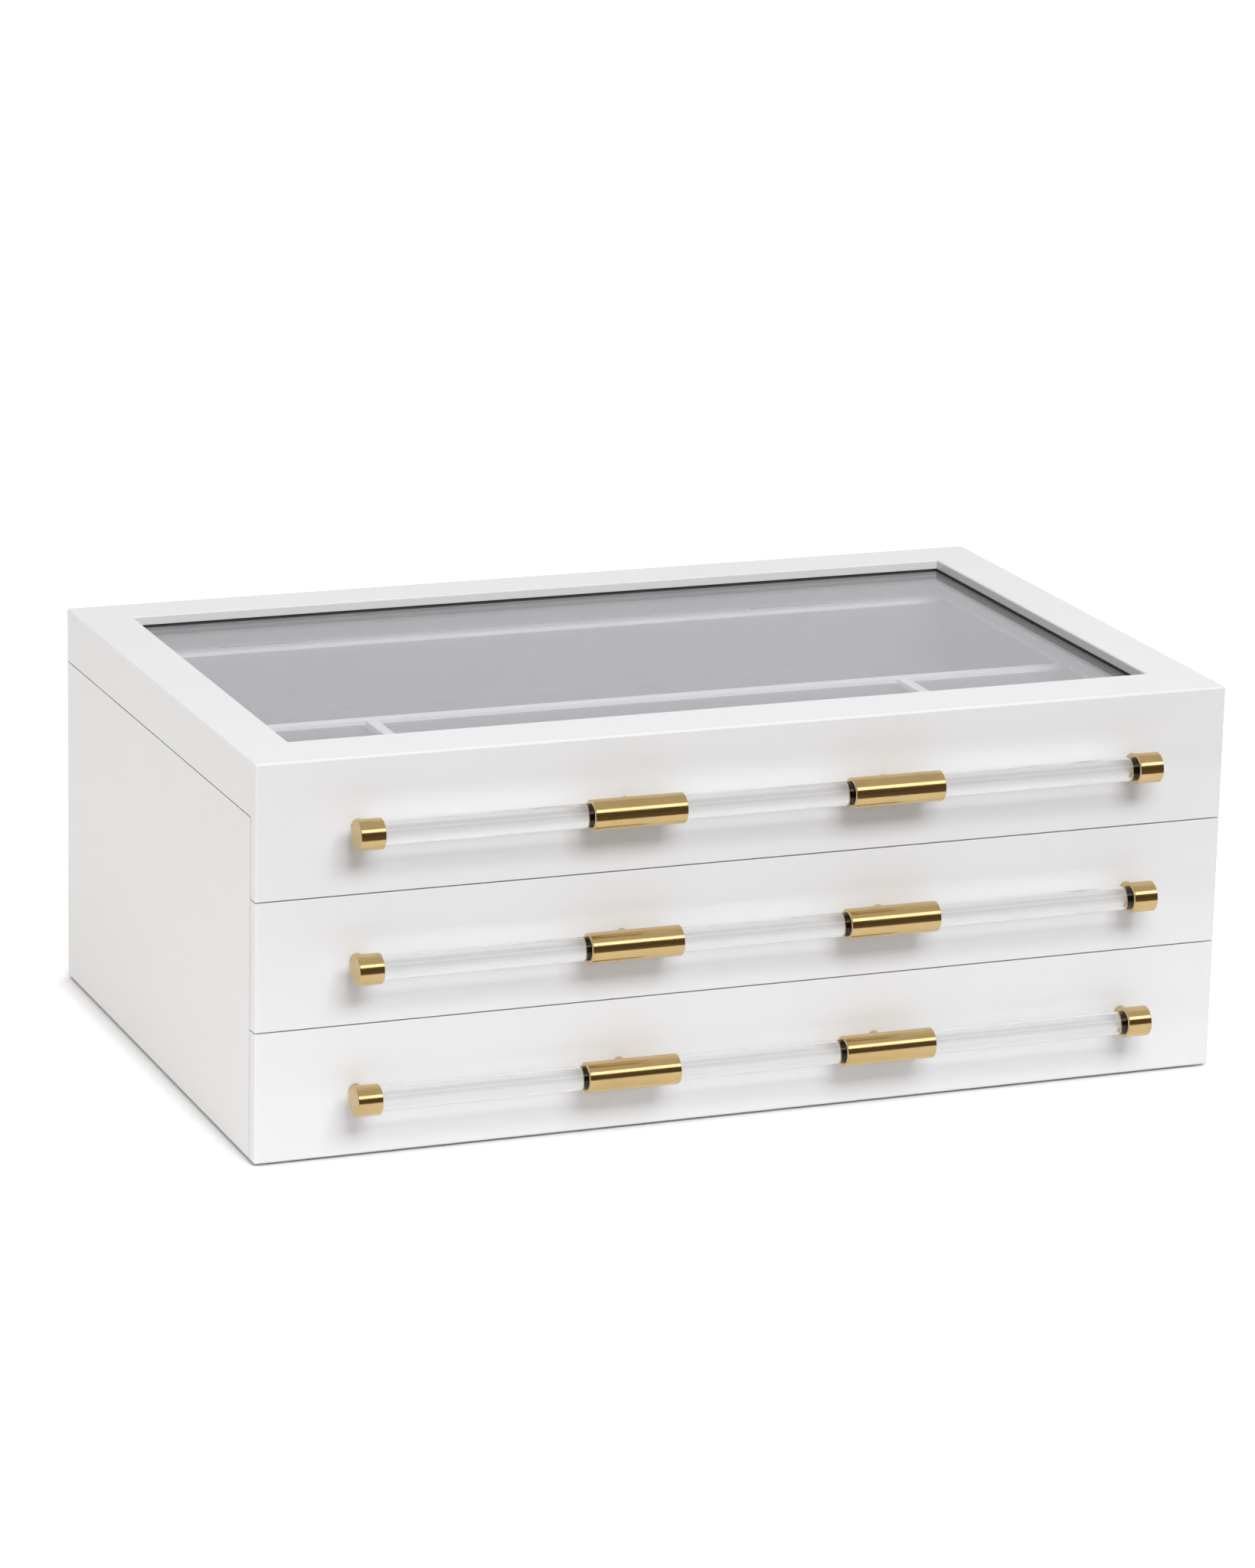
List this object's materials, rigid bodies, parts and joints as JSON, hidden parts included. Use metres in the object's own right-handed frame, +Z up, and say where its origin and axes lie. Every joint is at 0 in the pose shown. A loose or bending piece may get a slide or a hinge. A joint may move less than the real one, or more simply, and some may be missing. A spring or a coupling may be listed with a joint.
{
  "type": "jewellery chest",
  "caption": "White lacquered jewellery chest with a hinged glass lid over a lined, divided tray, drawers below, and clear rod handles held in brass sleeves and end caps.",
  "frame": {"origin": "centre of the felt underside that the chest stands on: midway across the width, midway between the front faces and the back", "axes": "+X to the right along the width as seen from the front, +Y from the fronts to the hinged back, +Z up"},
  "size_m": [0.4064, 0.2791, 0.1597],
  "materials": {
    "white_lacquer": "white satin lacquer over wood board",
    "white_paint": "plain white paint over wood board",
    "grey_suede": "soft grey suede cloth",
    "polished_brass": "polished and lacquered gold brass",
    "clear_acrylic": "clear polished acrylic rod",
    "clear_glass": "clear float glass",
    "black_gasket": "black foam tape",
    "grey_felt": "short grey felt",
    "bumper": "clear soft bumper",
    "zinc_steel": "zinc plated screws"
  },
  "bodies": {
    "case": {"case_side_left": "white_lacquer", "case_side_right": "white_lacquer", "case_back": "white_lacquer", "case_bottom": "white_paint", "drawer_shelf": "white_paint", "tray_floor": "white_paint", "base_felt": "grey_felt", "drawer_stop_cleats": "white_paint", "tray_front_rail": "white_lacquer", "tray_long_divider": "white_lacquer", "tray_short_dividers": "white_lacquer", "tray_linings": "grey_suede", "lid_bumpers": "bumper", "hinge_case_leaves": "polished_brass", "hinge_case_screws": "polished_brass", "hinge_pins": "polished_brass"},
    "lid": {"lid_rail_front": "white_lacquer", "lid_rail_back": "white_lacquer", "lid_rail_left": "white_lacquer", "lid_rail_right": "white_lacquer", "lid_front_board": "white_lacquer", "lid_glass": "clear_glass", "glass_gasket": "black_gasket", "glass_beads": "grey_suede", "lid_wall_lining": "grey_suede", "hinge_lid_leaves": "polished_brass", "hinge_lid_screws": "polished_brass", "lid_handle_rod": "clear_acrylic", "lid_handle_sleeves": "polished_brass", "lid_handle_end_caps": "polished_brass", "lid_handle_posts": "polished_brass", "lid_handle_screws": "zinc_steel"},
    "middle_drawer": {"middle_front_board": "white_lacquer", "middle_box_front": "white_paint", "middle_box_side_left": "white_paint", "middle_box_side_right": "white_paint", "middle_box_back": "white_paint", "middle_box_panel": "white_paint", "middle_linings": "grey_suede", "middle_handle_rod": "clear_acrylic", "middle_handle_sleeves": "polished_brass", "middle_handle_end_caps": "polished_brass", "middle_handle_posts": "polished_brass", "middle_handle_screws": "zinc_steel", "middle_long_divider": "white_paint", "middle_cross_divider": "white_paint", "ring_rolls": "grey_suede"},
    "bottom_drawer": {"bottom_front_board": "white_lacquer", "bottom_box_front": "white_paint", "bottom_box_side_left": "white_paint", "bottom_box_side_right": "white_paint", "bottom_box_back": "white_paint", "bottom_box_panel": "white_paint", "bottom_linings": "grey_suede", "bottom_handle_rod": "clear_acrylic", "bottom_handle_sleeves": "polished_brass", "bottom_handle_end_caps": "polished_brass", "bottom_handle_posts": "polished_brass", "bottom_handle_screws": "zinc_steel", "bottom_divider": "white_paint"}
  },
  "joints": [
    {"name": "lid_hinge", "type": "hinge", "parent": "case", "child": "lid", "pos_m": [0, 0.1302, 0.1375], "axis": [-1, 0, 0], "range_deg": [0, 95]},
    {"name": "middle_drawer_slide", "type": "slide", "parent": "case", "child": "middle_drawer", "axis": [0, -1, 0], "range_m": [0, 0.165]},
    {"name": "bottom_drawer_slide", "type": "slide", "parent": "case", "child": "bottom_drawer", "axis": [0, -1, 0], "range_m": [0, 0.165]}
  ]
}
